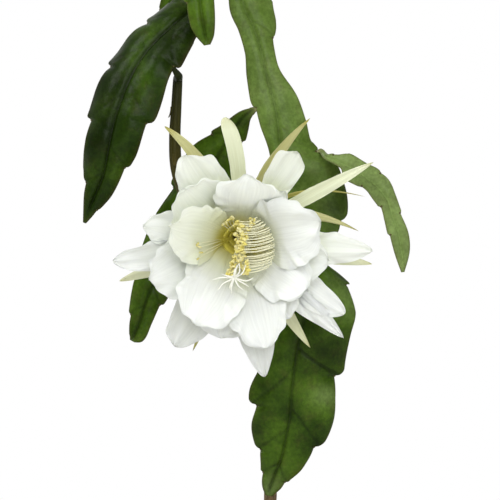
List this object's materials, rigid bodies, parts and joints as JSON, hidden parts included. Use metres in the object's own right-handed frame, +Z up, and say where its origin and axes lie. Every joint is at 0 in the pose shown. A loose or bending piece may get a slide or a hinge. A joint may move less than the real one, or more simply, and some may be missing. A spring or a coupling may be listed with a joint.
{
  "type": "potted queen of the night cactus",
  "caption": "Potted epiphytic cactus: canes arch from a clay pot of compost, flat notched stems hang from them, and one open white bloom hangs on its tube.",
  "frame": {"origin": "centre of the pot's underside, on the surface that it stands on", "axes": "+Z up along the pot's axis, -Y towards the front, where the bloom faces, +X to the right as seen from the front"},
  "size_m": [0.232, 0.2949, 0.7028],
  "materials": {
    "clay": "unglazed fired clay, matte",
    "compost": "damp bark compost, matte",
    "cane": "corky woody stem, matte",
    "cladode": "fleshy green leaf-like stem, waxy",
    "tube": "brown-olive fleshy tube, satin",
    "petal": "white petal, soft sheen",
    "tepal": "greenish gold tepal, soft sheen",
    "stamen": "pale threads with yellow anthers",
    "style": "creamy white, satin"
  },
  "bodies": {
    "root": {"pot": "clay", "compost": "compost", "cane_front": "cane", "cane_back": "cane", "cladode_left": "cladode", "cladode_tongue": "cladode", "cladode_right": "cladode", "cladode_low": "cladode", "cladode_middle": "cladode", "cladode_side": "cladode", "cladode_back_long": "cladode", "cladode_back_low": "cladode", "cladode_back_left": "cladode", "cladode_crown_right": "cladode", "cladode_young": "cladode", "floral_tube": "tube", "petals": "petal", "outer_tepals": "tepal", "stamens": "stamen", "style": "style"}
  },
  "joints": []
}
